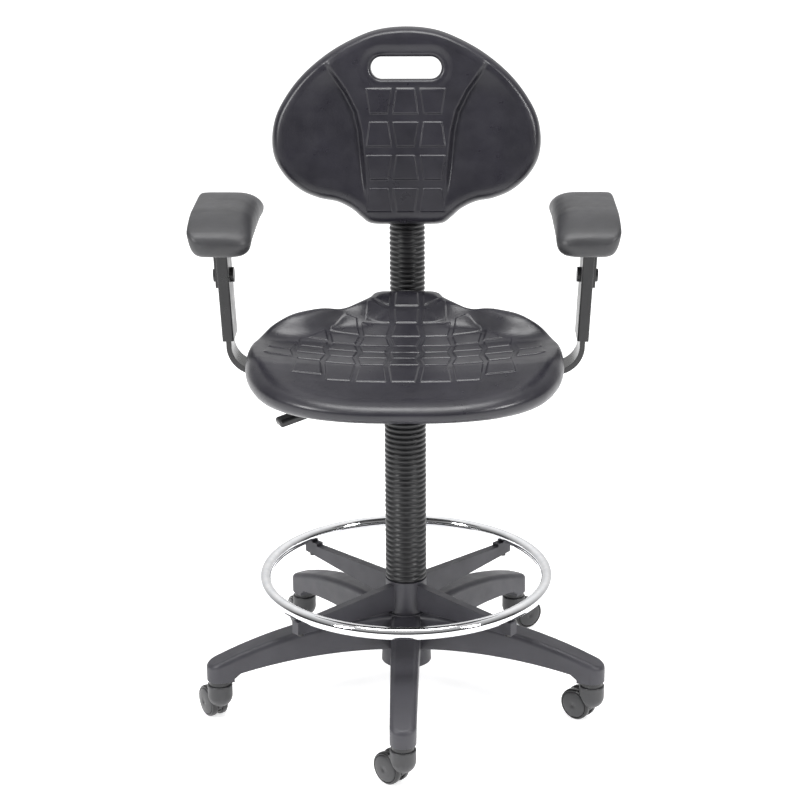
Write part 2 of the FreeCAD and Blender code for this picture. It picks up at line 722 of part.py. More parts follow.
def lobed_knob(stem_length):
    """A five-lobed clamp knob: head from z = 0 down, screw from z = 0 up."""
    lobes = [turned_copy(cylinder(6, -d.knob_depth, 0, d.knob_radius - 6), 72 * number)
             for number in range(5)]
    core = cylinder(d.knob_radius - 5, -d.knob_depth, 0)
    return joined(core, *lobes, cylinder(4, 0, stem_length))


def knobs():
    low = float(d.bar_level) - float(d.bar_thickness) / 2
    head_level = 486
    depth_knob = lobed_knob(low - 0.4 - head_level)
    node("depth_knob", placed(depth_knob, Placement(Vector(0, 100, head_level), Rotation())))
    bar_back = float(d.upright_y) + float(d.bar_thickness) / 2
    head_y = 258
    height_knob = lobed_knob(head_y - bar_back - 0.4)
    node("height_knob", placed(height_knob, Placement(
        Vector(0, head_y, 790), Rotation(Vector(1, 0, 0), 90))))


# ---------------------------------------------------------------- arms

def arm_frame(side):
    """Foot of one arm's upright, leaning outwards; side is +1 or -1."""
    return Placement(Vector(side * float(d.arm_base_x), float(d.arm_y), float(d.arm_base_level)),
                     Rotation(Vector(0, 1, 0), side * float(d.arm_lean)))


def arm_bar(side):
    """Flat bar: out from under the seat, round the bend and up inside the sleeve."""
    half = float(d.bar_thickness) / 2
    lean = math.radians(float(d.arm_lean))
    bend = float(d.arm_bend)
    level = float(d.plate_top) - half
    bend_z = level + bend
    slack = bend_z + bend * math.sin(lean) - float(d.arm_base_level)
    end_x = float(d.arm_base_x) + slack * math.tan(lean)
    bend_x = end_x - bend * math.cos(lean)
    end_z = bend_z + bend * math.sin(lean)
    rise = float(d.arm_base_level) + float(d.arm_bar_rise) * math.cos(lean)
    rise_x = float(d.arm_base_x) + float(d.arm_bar_rise) * math.sin(lean)
    middle = math.radians(-45) - lean / 2

    def offset(distance):
        """Arc start, middle and end, and the bar's top corner, at one face of the bar."""
        radius = bend + distance
        return [
            (bend_x, bend_z - radius),
            (bend_x + radius * math.cos(middle), bend_z + radius * math.sin(middle), "via"),
            (bend_x + radius * math.cos(lean), end_z - distance * math.sin(lean)),
            (rise_x + distance * math.cos(lean), rise - distance * math.sin(lean)),
        ]

    outer = offset(half)
    inner = offset(-half)
    points = [(d.arm_bar_inner_x, level - half)] + outer + inner[::-1]
    points += [(d.arm_bar_inner_x, level + half)]
    if side < 0:
        points = [(-point[0],) + tuple(point[1:]) for point in points]
    bar = extruded("XZ_Plane", points, d.arm_bar_width)
    bind(bar, "Placement.Base.y", d.arm_y)
    slot = box((-20, 20), (-4.2, 4.2), (d.arm_bolt_rise - 4.2, d.arm_bolt_rise + 49.3))
    holes = [cylinder(4, 500, 560, side * x, 60) for x in (124, 154)]
    return cut(bar, placed(slot, arm_frame(side)), group(*holes))


def arm(side, name):
    """Everything of one arm: bar, sleeve, bracket, pad and fasteners."""
    node(f"arm_bar_{name}", arm_bar(side))
    frame = arm_frame(side)
    half = d.sleeve_thickness / 2
    half_slot = d.bar_thickness / 2 + 0.1
    half_width = d.sleeve_width / 2
    bolt = d.arm_bolt_rise
    shell = rounded(box((-half, half), (-half_width, half_width), (0, d.sleeve_rise)), 2.5,
                    lambda edge: edge.BoundBox.ZLength > 100)
    slot = box((-half_slot, half_slot), (-25.1, 25.1), (-5, d.arm_bar_rise + 2))
    bolt_hole = arm_cross(4, -20, 20)
    node(f"arm_sleeve_{name}", placed(cut(shell, slot, bolt_hole), frame))
    outer = (half, half + 4) if side > 0 else (-half - 4, -half)
    leg = placed(box(outer, (-23, 23), (bolt - 14, d.sleeve_rise + 2)), frame)
    centre = side * float(d.pad_centre_x)
    flange_bottom = d.pad_seat - 4
    flange = box((centre - 34, centre + 34), (-10, 130), (flange_bottom, d.pad_seat))
    leg_hole = placed(arm_cross(4, -20, 20), frame)
    pad_screws = [(centre + shift, y) for shift in (-16, 16) for y in (10, 110)]
    screw_holes = [cylinder(2.5, 700, 760, x, y) for x, y in pad_screws]
    sleeve_space = placed(box((-half, half), (-half_width, half_width), (-5, d.sleeve_rise)),
                          frame)
    node(f"arm_bracket_{name}", cut(joined(leg, flange), sleeve_space, leg_hole,
                                    group(*screw_holes)))
    screws = [joined(cylinder(2.5, flange_bottom, d.pad_seat + 9, x, y),
                     cylinder(5, flange_bottom - 2.6, flange_bottom, x, y))
              for x, y in pad_screws]
    inner_head = arm_cross(11.5, *sorted((-side * float(half), -side * (float(half) + 5.5))))
    outer_start = side * (float(half) + 4)
    outer_head = arm_cross(10, *sorted((outer_start, outer_start + side * 4.5)))
    shank = arm_cross(4, *sorted((-side * float(half), outer_start)))
    side_bolt = placed(joined(inner_head, shank, outer_head), frame)
    node(f"arm_fasteners_{name}", group(side_bolt, *screws))
    arm_pad(side, name, screw_holes_above=pad_screws)


def arm_cross(radius, start, end):
    """A cylinder along X in the arm's own frame, at the side bolt's height."""
    piece = DOC.addObject("Part::Cylinder", "cross")
    piece.Radius = radius
    piece.Height = end - start
    piece.Placement = Placement(Vector(start, 0, float(d.arm_bolt_rise)),
                                Rotation(Vector(0, 1, 0), 90))
    return piece


def arm_pad(side, name, screw_holes_above):
    """Moulded pad with a recess for its flange, its top falling to a rounded nose and tail."""
    bottom = d.pad_bottom
    top = d.pad_top + 3
    side_view = extruded("YZ_Plane", [
        (d.pad_front + 20, bottom), (d.pad_back - 14, bottom), (d.pad_back, bottom + 14, "via"),
        (d.pad_back - 5, top - 23), (d.pad_back - 40, top - 8, "via"), (94, top), (-4, top),
        (-42, top - 7, "via"), (d.pad_front + 6, top - 27), (d.pad_front, bottom + 18, "via"),
    ], d.pad_half_width * 2)
    outer = d.pad_half_width
    section = [
        (14 - outer, bottom), (outer - 24, bottom), (outer, bottom + 26, "via"),
        (outer - 26, d.pad_top), (8 - outer, top), (-outer, d.pad_top - 16, "via"),
    ]
    if side < 0:
        section = [(-point[0],) + tuple(point[1:]) for point in section]
    soft = common(side_view, extruded("XZ_Plane", section, 600))
    bind(soft, "Placement.Base.x", d.pad_centre_x * side)
    centre = side * float(d.pad_centre_x)
    recess = box((centre - 35, centre + 35), (-11, 131), (bottom - 5, d.pad_seat))
    holes = [cylinder(2.5, d.pad_seat - 5, d.pad_seat + 9, x, y)
             for x, y in screw_holes_above]
    node(f"arm_pad_{name}", cut(soft, recess, group(*holes)))


# ---------------------------------------------------------------- build and export

star_base()
castor_stems()
for position, heading in enumerate(CASTOR_HEADINGS, start=1):
    castor(position, heading)
column()
foot_ring()
mechanism()
lift_lever()
seat()
upright()
backrest()
back_bracket()
knobs()
arm(-1, "left")
arm(1, "right")
DOC.recompute()

for thing in DOC.Objects:
    if "Invalid" in thing.State or "Error" in thing.State:
        raise RuntimeError(f"{thing.Name} ({thing.Label}) failed: {thing.State}")
os.makedirs("parts", exist_ok=True)
for thing in NODES:
    if thing.Shape.isNull() or not thing.Shape.isValid():
        raise RuntimeError(f"{thing.Label} has no valid shape")
    thing.Shape.exportStep(f"parts/{thing.Label}.step")
print(len(NODES), "sub-parts")
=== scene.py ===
import json
import math

import bmesh
import bpy
import numpy as np
from mathutils import Matrix, Vector


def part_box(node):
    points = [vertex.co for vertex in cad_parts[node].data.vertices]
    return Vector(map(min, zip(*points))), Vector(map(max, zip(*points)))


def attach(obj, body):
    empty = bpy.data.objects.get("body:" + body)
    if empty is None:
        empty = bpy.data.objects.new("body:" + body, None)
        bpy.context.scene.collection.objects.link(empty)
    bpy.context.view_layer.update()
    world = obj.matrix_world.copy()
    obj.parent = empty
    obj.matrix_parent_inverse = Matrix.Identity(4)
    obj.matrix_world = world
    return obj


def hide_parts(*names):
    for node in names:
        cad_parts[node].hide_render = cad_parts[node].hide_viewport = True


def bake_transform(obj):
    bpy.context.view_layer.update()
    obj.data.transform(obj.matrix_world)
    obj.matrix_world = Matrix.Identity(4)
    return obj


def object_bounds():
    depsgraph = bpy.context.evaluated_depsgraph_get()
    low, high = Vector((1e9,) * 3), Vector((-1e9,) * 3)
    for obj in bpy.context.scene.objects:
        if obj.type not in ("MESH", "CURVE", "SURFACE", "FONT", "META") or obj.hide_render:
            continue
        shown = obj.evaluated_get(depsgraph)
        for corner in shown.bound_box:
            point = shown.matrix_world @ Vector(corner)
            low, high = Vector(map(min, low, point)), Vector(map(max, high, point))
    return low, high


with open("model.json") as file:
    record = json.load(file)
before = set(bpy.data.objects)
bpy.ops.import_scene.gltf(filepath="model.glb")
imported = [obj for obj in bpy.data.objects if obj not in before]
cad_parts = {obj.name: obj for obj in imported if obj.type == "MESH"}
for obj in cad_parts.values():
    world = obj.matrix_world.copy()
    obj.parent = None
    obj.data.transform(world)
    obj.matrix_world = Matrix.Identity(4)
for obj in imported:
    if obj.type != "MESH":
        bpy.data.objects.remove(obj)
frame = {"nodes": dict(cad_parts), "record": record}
cad_low, cad_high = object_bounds()

MM = 0.001


# ---------------------------------------------------------------- camera, floor and light

def make_camera():
    """Looks down on the chair from the front, a little to its right."""
    azimuth = math.radians(1.1)
    pitch = math.radians(18.73)
    yaw = math.radians(0.15)
    roll = math.radians(-0.35)
    distance = 3.0
    height = 1.509
    lens = bpy.data.cameras.new("camera")
    lens.sensor_width = 36
    lens.lens = 94.05
    camera = bpy.data.objects.new("camera", lens)
    bpy.context.scene.collection.objects.link(camera)
    turn = (Matrix.Rotation(azimuth + yaw, 4, "Z")
            @ Matrix.Rotation(math.pi / 2 - pitch, 4, "X")
            @ Matrix.Rotation(roll, 4, "Z"))
    place = Vector((distance * math.sin(azimuth), -distance * math.cos(azimuth), height))
    camera.matrix_world = Matrix.Translation(place) @ turn
    bpy.context.scene.camera = camera


def make_floor():
    """A wide, nearly white floor, level with the lowest point of the wheels."""
    half = 40.0
    mesh = bpy.data.meshes.new("floor")
    mesh.from_pydata([(-half, -half, 0), (half, -half, 0), (half, half, 0), (-half, half, 0)],
                     [], [(0, 1, 2, 3)])
    floor = bpy.data.objects.new("floor", mesh)
    bpy.context.scene.collection.objects.link(floor)
    floor.location.z = cad_low.z
    material, tree, shader = new_material("floor_paint")
    shader.inputs["Roughness"].default_value = 0.6
    shader.inputs["Emission Color"].default_value = (1, 1, 1, 1)
    shader.inputs["Emission Strength"].default_value = 0.62
    shade(tree, shader, (0.88, 0.88, 0.89), (0.91, 0.91, 0.91), scale=3)
    mesh.materials.append(material)


def area_light(name, place, aim, size, power):
    lamp = bpy.data.lights.new(name, "AREA")
    lamp.shape = "RECTANGLE"
    lamp.size, lamp.size_y = size
    lamp.energy = power
    light = bpy.data.objects.new(name, lamp)
    bpy.context.scene.collection.objects.link(light)
    light.location = place
    light.rotation_euler = (Vector(aim) - Vector(place)).to_track_quat("-Z", "Y").to_euler()


def make_light():
    """A white studio, flagged off in front so that reflections have contrast, with softboxes."""
    bpy.context.scene.view_settings.view_transform = "Standard"
    world = bpy.data.worlds.new("studio")
    bpy.context.scene.world = world
    world.use_nodes = True
    tree = world.node_tree
    coords = tree.nodes.new("ShaderNodeTexCoord")
    split = tree.nodes.new("ShaderNodeSeparateXYZ")
    tree.links.new(coords.outputs["Generated"], split.inputs[0])
    overhead = remap(tree, split.outputs["Z"], 0.25, 0.95, 0.04, 0.7)
    behind = remap(tree, split.outputs["Y"], 0.0, 0.8, 0, 0.7)
    total = tree.nodes.new("ShaderNodeMath")
    total.operation = "ADD"
    tree.links.new(overhead, total.inputs[0])
    tree.links.new(behind, total.inputs[1])
    seen = tree.nodes.new("ShaderNodeLightPath")
    strength = tree.nodes.new("ShaderNodeMix")
    strength.inputs["B"].default_value = 1
    tree.links.new(seen.outputs["Is Camera Ray"], strength.inputs["Factor"])
    tree.links.new(total.outputs[0], strength.inputs["A"])
    background = tree.nodes["Background"]
    background.inputs["Color"].default_value = (1, 1, 1, 1)
    tree.links.new(strength.outputs["Result"], background.inputs["Strength"])
    middle = (0, 0, 0.55)
    area_light("softbox_left", (-2.3, -1.9, 2.2), middle, (0.6, 1.1), 62)
    area_light("softbox_right", (2.4, -1.8, 2.1), middle, (0.6, 1.1), 52)
    area_light("softbox_top", (0, -0.4, 3.0), middle, (2.0, 1.0), 55)


# ---------------------------------------------------------------- materials

def new_material(name):
    material = bpy.data.materials.new(name)
    material.use_nodes = True
    tree = material.node_tree
    return material, tree, tree.nodes["Principled BSDF"]


def noise(tree, scale, detail=4):
    """Noise fixed to the object, with scale in features per metre."""
    coords = tree.nodes.new("ShaderNodeTexCoord")
    texture = tree.nodes.new("ShaderNodeTexNoise")
    texture.inputs["Scale"].default_value = scale
    texture.inputs["Detail"].default_value = detail
    tree.links.new(coords.outputs["Object"], texture.inputs["Vector"])
    return texture.outputs["Fac"]


def remap(tree, value, low, high, to_low, to_high):
    node = tree.nodes.new("ShaderNodeMapRange")
    node.inputs["From Min"].default_value = low
    node.inputs["From Max"].default_value = high
    node.inputs["To Min"].default_value = to_low
    node.inputs["To Max"].default_value = to_high
    tree.links.new(value, node.inputs["Value"])
    return node.outputs["Result"]


def mix_colour(tree, factor, first, second):
    node = tree.nodes.new("ShaderNodeMix")
    node.data_type = "RGBA"
    tree.links.new(factor, node.inputs["Factor"])
    for socket, colour in ((node.inputs[6], first), (node.inputs[7], second)):
        if isinstance(colour, tuple):
            socket.default_value = (*colour, 1)
        else:
            tree.links.new(colour, socket)
    return node.outputs[2]


def shade(tree, shader, dark, light, scale=20):
    """Slow colour drift between two close tones."""
    drift = remap(tree, noise(tree, scale), 0.35, 0.65, 0, 1)
    colour = mix_colour(tree, drift, dark, light)
    tree.links.new(colour, shader.inputs["Base Color"])
    return colour


def edge_mask(tree, radius):
    """1 on convex and concave edges tighter than radius, 0 on open surfaces."""
    bevel = tree.nodes.new("ShaderNodeBevel")
    bevel.samples = 4
    bevel.inputs["Radius"].default_value = radius
    geometry = tree.nodes.new("ShaderNodeNewGeometry")
    dot = tree.nodes.new("ShaderNodeVectorMath")
    dot.operation = "DOT_PRODUCT"
    tree.links.new(bevel.outputs["Normal"], dot.inputs[0])
    tree.links.new(geometry.outputs["Normal"], dot.inputs[1])
    return remap(tree, dot.outputs["Value"], 0.99, 0.86, 0, 1), bevel.outputs["Normal"]


def crest_mask(tree):
    """1 on the tight convex edges of a finely meshed piece, 0 on open surfaces."""
    geometry = tree.nodes.new("ShaderNodeNewGeometry")
    return remap(tree, geometry.outputs["Pointiness"], 0.53, 0.62, 0, 1)


def wear(tree, shader, colour, worn, edges):
    """Paler, scuffed edges, broken up by noise."""
    patch = tree.nodes.new("ShaderNodeMath")
    patch.operation = "MULTIPLY"
    tree.links.new(edges, patch.inputs[0])
    tree.links.new(remap(tree, noise(tree, 160), 0.35, 0.7, 0.1, 0.6), patch.inputs[1])
    tree.links.new(mix_colour(tree, patch.outputs[0], colour, worn), shader.inputs["Base Color"])


def bumps(tree, shader, layers, last=None):
    """Stacks bump nodes on the normal last; each layer is (scale, detail, height in metres)."""
    for scale, detail, height in layers:
        bump = tree.nodes.new("ShaderNodeBump")
        bump.inputs["Strength"].default_value = 1
        bump.inputs["Distance"].default_value = height
        tree.links.new(noise(tree, scale, detail), bump.inputs["Height"])
        if last:
            tree.links.new(last, bump.inputs["Normal"])
        last = bump.outputs["Normal"]
    tree.links.new(last, shader.inputs["Normal"])


def moulded(name, dark, light, rough, grain, worn, edge=0.0012):
    """Any moulded surface: colour drift, scuffed edges, uneven gloss and a fine grain.
    edge is the radius its edges look rounded to, or None on a mesh that is round already."""
    material, tree, shader = new_material(name)
    colour = shade(tree, shader, dark, light)
    edges, rounded_normal = edge_mask(tree, edge) if edge else (crest_mask(tree), None)
    wear(tree, shader, colour, worn, edges)
    gloss = remap(tree, noise(tree, 45, 6), 0.3, 0.7, *rough)
    tree.links.new(gloss, shader.inputs["Roughness"])
    bumps(tree, shader, grain, rounded_normal)
    return material


def metal(name, dark, light, rough, grain):
    """Bare metal with fine wiping marks."""
    material, tree, shader = new_material(name)
    shade(tree, shader, dark, light, scale=60)
    shader.inputs["Metallic"].default_value = 1
    marks = remap(tree, noise(tree, 300, 5), 0.3, 0.7, *rough)
    tree.links.new(marks, shader.inputs["Roughness"])
    bumps(tree, shader, grain)
    return material


def make_materials():
    fine = [(2600, 2, 0.00003), (700, 3, 0.00005)]
    skin_grain = [(3200, 2, 0.00003), (900, 3, 0.00005), (30, 3, 0.0004)]
    return {
        "skin_foam": moulded("skin_foam", (0.0135, 0.0128, 0.0175), (0.0190, 0.0180, 0.0240),
                             (0.27, 0.36), skin_grain, (0.035, 0.035, 0.04), None),
        "arm_foam": moulded("arm_foam", (0.024, 0.024, 0.026), (0.031, 0.031, 0.034),
                            (0.40, 0.50), skin_grain, (0.05, 0.05, 0.055), None),
        "nylon": moulded("nylon", (0.030, 0.029, 0.036), (0.038, 0.037, 0.045), (0.40, 0.52),
                         fine, (0.08, 0.08, 0.085)),
        "castor_nylon": moulded("castor_nylon", (0.026, 0.026, 0.028), (0.034, 0.034, 0.036),
                                (0.34, 0.46), fine, (0.08, 0.08, 0.085)),
        "castor_tread": moulded("castor_tread", (0.006, 0.006, 0.007), (0.010, 0.010, 0.011),
                                (0.12, 0.26), fine, (0.04, 0.04, 0.04), 0.0006),
        "steel": metal("steel", (0.52, 0.52, 0.53), (0.64, 0.64, 0.65), (0.22, 0.4), fine),
        "black_bolt": moulded("black_bolt", (0.010, 0.010, 0.011), (0.016, 0.016, 0.017),
                              (0.26, 0.42), fine, (0.06, 0.06, 0.06), 0.0006),
        "black_steel": moulded("black_steel", (0.009, 0.009, 0.010), (0.013, 0.013, 0.014),
                               (0.16, 0.26), [(1100, 3, 0.00003), (240, 3, 0.00004)],
                               (0.04, 0.04, 0.04)),
        "bush_plastic": moulded("bush_plastic", (0.018, 0.018, 0.02), (0.028, 0.028, 0.03),
                                (0.35, 0.5), fine, (0.06, 0.06, 0.06)),
        "chrome_tube": metal("chrome_tube", (0.80, 0.81, 0.83), (0.88, 0.88, 0.89), (0.03, 0.1),
                             [(90, 2, 0.00004)]),
        "bellows_rubber": moulded("bellows_rubber", (0.007, 0.007, 0.008),
                                  (0.012, 0.012, 0.013), (0.30, 0.44), fine,
                                  (0.04, 0.04, 0.045)),
        "board": moulded("board", (0.05, 0.048, 0.046), (0.075, 0.072, 0.07), (0.5, 0.7), fine,
                         (0.12, 0.11, 0.10)),
        "grip_plastic": moulded("grip_plastic", (0.010, 0.010, 0.011), (0.015, 0.015, 0.016),
                                (0.26, 0.38), fine, (0.06, 0.06, 0.06)),
    }


# ---------------------------------------------------------------- shape helpers

def smooth(low, high, value):
    """0 below low, 1 above high and an even S between them."""
    t = np.clip((value - low) / (high - low), 0, 1)
    return t * t * (3 - 2 * t)


def closed_curve(points, count):
    """count points evenly spaced on a smooth closed curve through points."""
    control = np.array(points, float)
    parts = []
    share = np.linspace(0, 1, 60, endpoint=False)[:, None]
    for index in range(len(control)):
        before, here, there, after = (control[(index + step) % len(control)]
                                      for step in (-1, 0, 1, 2))
        knots = [0.0]
        for one, two in ((before, here), (here, there), (there, after)):
            knots.append(knots[-1] + math.sqrt(np.linalg.norm(two - one)))
        at = knots[1] + share * (knots[2] - knots[1])

        def level(one, two, low, high):
            return one * (high - at) / (high - low) + two * (at - low) / (high - low)

        first = level(before, here, knots[0], knots[1])
        second = level(here, there, knots[1], knots[2])
        third = level(there, after, knots[2], knots[3])
        lower = level(first, second, knots[0], knots[2])
        upper = level(second, third, knots[1], knots[3])
        parts.append(level(lower, upper, knots[1], knots[2]))
    dense = np.concatenate(parts)
    ring = np.vstack([dense, dense[:1]])
    length = np.concatenate([[0], np.cumsum(np.linalg.norm(np.diff(ring, axis=0), axis=1))])
    wanted = np.arange(count) / count * length[-1]
    return np.column_stack([np.interp(wanted, length, ring[:, axis]) for axis in (0, 1)])


def outward(ring):
    """Unit normals of a counter-clockwise closed ring of 2-D points."""
    along = np.roll(ring, -1, axis=0) - np.roll(ring, 1, axis=0)
    along /= np.linalg.norm(along, axis=1)[:, None]
    return np.column_stack([along[:, 1], -along[:, 0]])


def both_sides(half):
    """A closed outline from the points of its right half, front to back."""
    return half + [(-x, y) for x, y in reversed(half) if abs(x) > 0.001]


def add_piece(name, vertices, faces, material, flat=()):
    """A smooth-shaded mesh object, with vertices given in millimetres."""
    mesh = bpy.data.meshes.new(name)
    mesh.from_pydata((np.asarray(vertices) * MM).tolist(), [], faces)
    shell = bmesh.new()
    shell.from_mesh(mesh)
    bmesh.ops.recalc_face_normals(shell, faces=shell.faces)
    shell.to_mesh(mesh)
    shell.free()
    mesh.polygons.foreach_set("use_smooth", [index not in flat for index in range(len(faces))])
    mesh.materials.append(material)
    piece = bpy.data.objects.new(name, mesh)
    bpy.context.scene.collection.objects.link(piece)
    return piece


def ring_faces(rows, columns, first=0, close_rows=False):
    """Quads between successive rows of a surface whose rows are closed rings."""
    faces = []
    for row in range(rows if close_rows else rows - 1):
        here = first + row * columns
        there = first + (row + 1) % rows * columns
        for column in range(columns):
            after = (column + 1) % columns
            faces.append((here + column, here + after, there + after, there + column))
    return faces


def soften(points, faces, weight, rounds):
    """Relaxes points towards their neighbours, as far as weight (0 to 1) lets each one move."""
    pairs = set()
    for face in faces:
        for one, two in zip(face, face[1:] + face[:1]):
            pairs.add((one, two) if one < two else (two, one))
    edges = np.array(sorted(pairs))
    count = np.bincount(edges.ravel(), minlength=len(points))[:, None]
    for _ in range(rounds):
        total = np.zeros_like(points)
        for axis in range(3):
            total[:, axis] = (
                np.bincount(edges[:, 0], points[edges[:, 1], axis], len(points))
                + np.bincount(edges[:, 1], points[edges[:, 0], axis], len(points)))
        points = points + (total / count - points) * weight[:, None] * 0.5
    return points


def block_height(across, along, corners, rise, ramp):
    """Height of one raised block at each point: flat on top, with sloped sides."""
    inside = np.full(across.shape, 1e9)
    for (x1, y1), (x2, y2) in zip(corners, corners[1:] + corners[:1]):
        length = math.hypot(x2 - x1, y2 - y1)
        inside = np.minimum(inside, ((x2 - x1) * (along - y1) - (y2 - y1) * (across - x1)) / length)
    return rise * smooth(-ramp / 2, ramp / 2, inside)


def disc_grid(half):
    """A square grid wrapped on a disc: each point's ring (0 to 1), its turn (0 to 1), the quads,
    and the grid's outer points in order."""
    steps = np.arange(-half, half + 1)
    a, b = np.meshgrid(steps, steps, indexing="ij")
    a, b = a.ravel(), b.ravel()
    ring = np.maximum(abs(a), abs(b))
    safe = np.maximum(ring, 1)
    turn = np.where(
        (a == ring) & (b < ring), (b + ring) / (8 * safe),
        np.where((b == ring) & (a > -ring), 0.25 + (ring - a) / (8 * safe),
                 np.where((a == -ring) & (b > -ring), 0.5 + (ring - b) / (8 * safe),
                          0.75 + (a + ring) / (8 * safe))))
    side = 2 * half + 1
    quads = []
    for row in range(side - 1):
        for column in range(side - 1):
            corner = row * side + column
            quads.append((corner, corner + side, corner + side + 1, corner + 1))
    border = np.flatnonzero(ring == half)
    border = border[np.argsort(turn[border], kind="stable")]
    return ring / half, turn % 1, quads, border


# ---------------------------------------------------------------- seat

SEAT_OUTLINE = [
    (0, -220), (76, -216), (146, -194), (199, -152), (229, -92), (238, -20), (233, 38),
    (214, 78), (180, 104), (143, 122), (108, 134), (82, 148), (65, 170), (57, 192), (44, 203),
    (20, 205),
]
COLUMN_PITCH = 47
ROW_PITCH = 39
FAN = 34
SEAT_MIDDLE = np.array([0.0, -10.0])


def seat_crease(x):
    """Where the dished middle meets the raised rear bolster, as y at each x."""
    return np.interp(abs(x), [0, 60, 75, 85, 98, 122, 150, 168, 215, 238],
                     [230, 165, 134, 124, 112, 84, 55, 46, 44, 44])


def seat_surface(x, y, rim_gap):
    """The seat's top without its blocks, in millimetres; rim_gap is the distance to the rim."""
    profile = np.interp(y, [-220, -190, -165, -140, -110, -85, -65, -39, 0, 39, 78, 100, 117,
                            136, 156, 180, 205],
                        [551, 557, 562, 566.5, 570, 572.6, 573, 571.8, 569, 567, 569.5, 573.5,
                         578, 586, 595, 604, 608])
    hollow = 1 - smooth(0, 185, abs(x))
    sides = 6 * smooth(60, 215, abs(x)) + 4 * smooth(185, 228, abs(x))
    wide = smooth(62, 120, abs(x)) * smooth(40, 90, y)
    middle = profile + sides * smooth(-190, -60, y)
    middle -= 2.5 * hollow * smooth(-120, 0, y) * (1 - smooth(60, 110, y))
    height = middle * (1 - wide) + (572 + sides) * wide
    rim = np.interp(abs(x), [0, 60, 98, 138, 165, 185, 216, 238],
                    [609, 609, 608.5, 607.5, 605, 602, 593, 583])
    past = np.maximum(y - seat_crease(x), 0)
    start = np.interp(abs(x), [60, 110, 140, 238], [1, 8, 25, 46])
    climb = past / (past + np.maximum(rim_gap, 0) + 0.01) * smooth(0, 1, past / start)
    bolster = climb ** 1.4 * smooth(58, 78, abs(x))
    lip = (1 - smooth(0, 16, rim_gap)) * smooth(96, 135, y)
    return height + np.maximum(rim - height, 0) * np.maximum(bolster, lip)


def even_seat_surface(x, y, inner):
    """seat_surface with its rear evened out over a few centimetres, read off a regular grid."""
    step = 4.0
    across = np.arange(-256, 257, step)
    along = np.arange(-240, 241, step)
    grid_x, grid_y = np.meshgrid(across, along, indexing="ij")
    flat = np.column_stack([grid_x.ravel(), grid_y.ravel()])
    angles = np.arctan2(inner[:, 1] - SEAT_MIDDLE[1], inner[:, 0])
    order = np.argsort(angles)
    reach = np.hypot(inner[:, 0], inner[:, 1] - SEAT_MIDDLE[1])
    limit = np.interp(np.arctan2(flat[:, 1] - SEAT_MIDDLE[1], flat[:, 0]), angles[order],
                      reach[order], period=2 * math.pi)
    outside = np.hypot(flat[:, 0], flat[:, 1] - SEAT_MIDDLE[1]) > limit
    crest = 9.0
    gap = np.where(outside, 0, np.maximum(nearest_distance(flat, inner) - crest, 0))
    height = seat_surface(flat[:, 0], flat[:, 1], gap).reshape(grid_x.shape)
    even = height
    for _ in range(9):
        padded = np.pad(even, 1, mode="edge")
        even = (padded[:-2, 1:-1] + padded[2:, 1:-1] + 2 * padded[1:-1, 1:-1]) / 4
        padded = np.pad(even, 1, mode="edge")
        even = (padded[1:-1, :-2] + padded[1:-1, 2:] + 2 * padded[1:-1, 1:-1]) / 4
    share = smooth(-22, 6, grid_y - seat_crease(grid_x))
    share = np.maximum(share, smooth(60, 110, grid_y))
    height = height * (1 - share) + even * share
    column = (x - across[0]) / step
    row = (y - along[0]) / step
    left, low = column.astype(int), row.astype(int)
    right_share, high_share = column - left, row - low
    return ((height[left, low] * (1 - right_share) + height[left + 1, low] * right_share)
            * (1 - high_share)
            + (height[left, low + 1] * (1 - right_share)
               + height[left + 1, low + 1] * right_share) * high_share)


def seat_blocks(x, y):
    """Rows of raised trapezoids, alternately wide at the back and at the front."""
    rise = np.zeros_like(x)
    reaches = {-3: 3, -2: 4, -1: 4, 0: 3, 1: 3, 2: 2, 3: 1, 4: 1, 5: 1}
    for row, reach in reaches.items():
        for column in range(-reach, reach + 1):
            narrow_rows = row >= 3
            centre = column * (44 if narrow_rows else COLUMN_PITCH)
            low = row * ROW_PITCH
            high = low + ROW_PITCH - 8
            if row == -3:
                front_line = -140 + 77 * (abs(centre) / 182) ** 4.2
                low = front_line - FAN * (abs(centre) / 185) ** 2.5
            back, front = (18.5, 16.5) if narrow_rows else (22, 17)
            if (row + column) % 2 == 0:
                back, front = front, back
            shift = 0
            if not narrow_rows:
                slope = FAN * 2.5 / 185 * (abs(centre) / 185) ** 1.5
                shift = FAN * (abs(centre) / 185) ** 2.5 + 0.5 * slope * (abs(x) - abs(centre))
            corners = [(centre - front, low), (centre + front, low), (centre + back, high),
                       (centre - back, high)]
            rise = np.maximum(rise, block_height(x, y - shift, corners, 1.7, 1.5))
    clear = smooth(-2, 4, seat_crease(x) - y)
    tongue = smooth(71, 65, abs(x))
    return rise * np.maximum(clear, tongue) * smooth(218, 200, abs(x))


